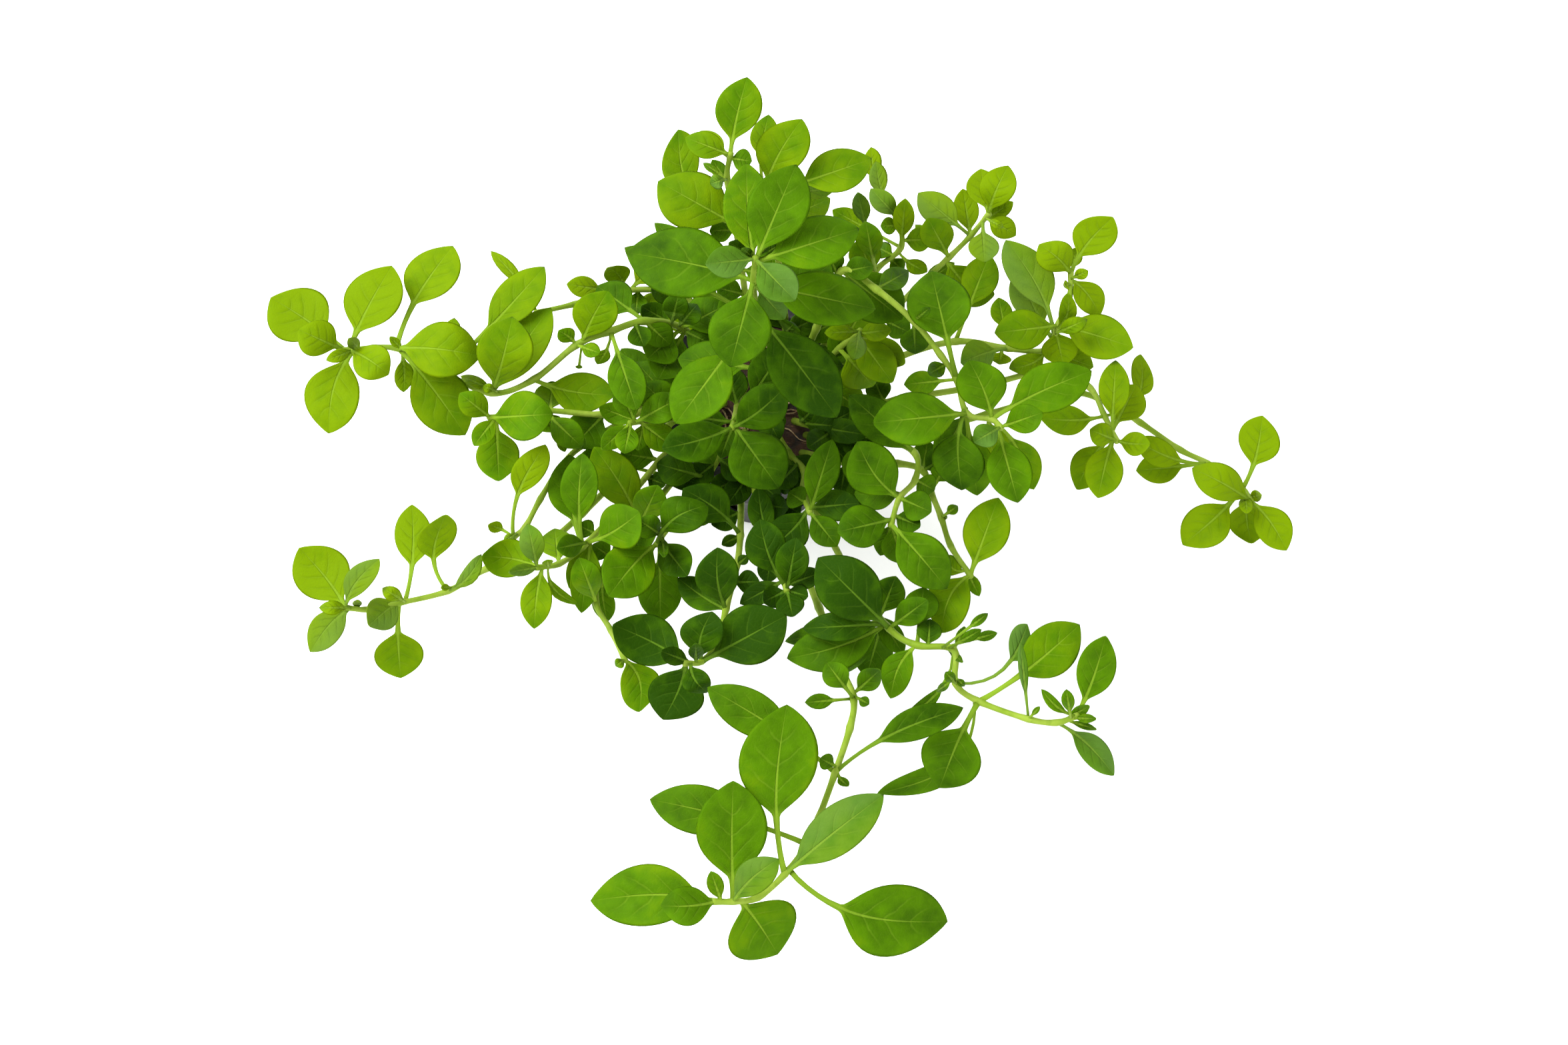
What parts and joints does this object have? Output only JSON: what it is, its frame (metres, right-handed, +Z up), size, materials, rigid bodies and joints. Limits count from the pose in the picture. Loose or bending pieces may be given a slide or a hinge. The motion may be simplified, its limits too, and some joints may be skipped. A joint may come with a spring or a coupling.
{
  "type": "potted marsh seedbox",
  "caption": "Leafy stem plant with pointed oval green leaves in opposite pairs on leaning shoots, rooted in a fibre plug in a small black slotted nursery pot.",
  "frame": {"origin": "centre of the pot's base, on the surface it stands on", "axes": "+Z up; +X to the right and -Y towards the viewer in the picture, where the longest shoot leans to -Y"},
  "size_m": [0.256, 0.2056, 0.145],
  "materials": {
    "pot_plastic": "moulded black plastic with a soft sheen",
    "root_fibre": "damp brown fibre",
    "green_stem": "smooth pale green stem",
    "green_leaf": "soft matt leaf"
  },
  "bodies": {
    "root": {"leaf_back_right_3": "green_leaf", "leaf_crown_10": "green_leaf", "leaf_crown_11": "green_leaf", "leaf_crown_12": "green_leaf", "leaf_crown_3": "green_leaf", "leaf_crown_4": "green_leaf", "leaf_crown_6": "green_leaf", "leaf_crown_7": "green_leaf", "leaf_crown_9": "green_leaf", "leaf_crown_back_7": "green_leaf", "leaf_front_1": "green_leaf", "leaf_front_10": "green_leaf", "leaf_front_11": "green_leaf", "leaf_front_4": "green_leaf", "leaf_front_7": "green_leaf", "leaf_front_8": "green_leaf", "leaf_front_9": "green_leaf", "leaf_front_left_5": "green_leaf", "leaf_left_upper_1": "green_leaf", "leaf_left_upper_10": "green_leaf", "leaf_left_upper_13": "green_leaf", "leaf_left_upper_3": "green_leaf", "leaf_left_upper_5": "green_leaf", "leaf_left_upper_8": "green_leaf", "leaf_left_upper_9": "green_leaf", "leaf_right_front_10": "green_leaf", "leaf_right_front_24": "green_leaf", "leaf_right_front_9": "green_leaf", "leaf_right_mid_11": "green_leaf", "leaf_right_mid_4": "green_leaf", "leaf_right_mid_6": "green_leaf", "pot": "pot_plastic", "root_plug": "root_fibre", "shoot_back_far": "green_stem", "shoot_back_mid": "green_stem", "shoot_back_right": "green_stem", "shoot_crown": "green_stem", "shoot_crown_back": "green_stem", "shoot_front": "green_stem", "shoot_front_left": "green_stem", "shoot_front_mid": "green_stem", "shoot_front_right": "green_stem", "shoot_inner": "green_stem", "shoot_inner_front": "green_stem", "shoot_inner_right": "green_stem", "shoot_left_back": "green_stem", "shoot_left_front": "green_stem", "shoot_left_inner": "green_stem", "shoot_left_low": "green_stem", "shoot_left_mid": "green_stem", "shoot_left_rosette": "green_stem", "shoot_left_side": "green_stem", "shoot_left_thin": "green_stem", "shoot_left_upper": "green_stem", "shoot_right_cluster": "green_stem", "shoot_right_far": "green_stem", "shoot_right_front": "green_stem", "shoot_right_low": "green_stem", "shoot_right_mid": "green_stem", "shoot_right_upper": "green_stem"}
  },
  "joints": []
}
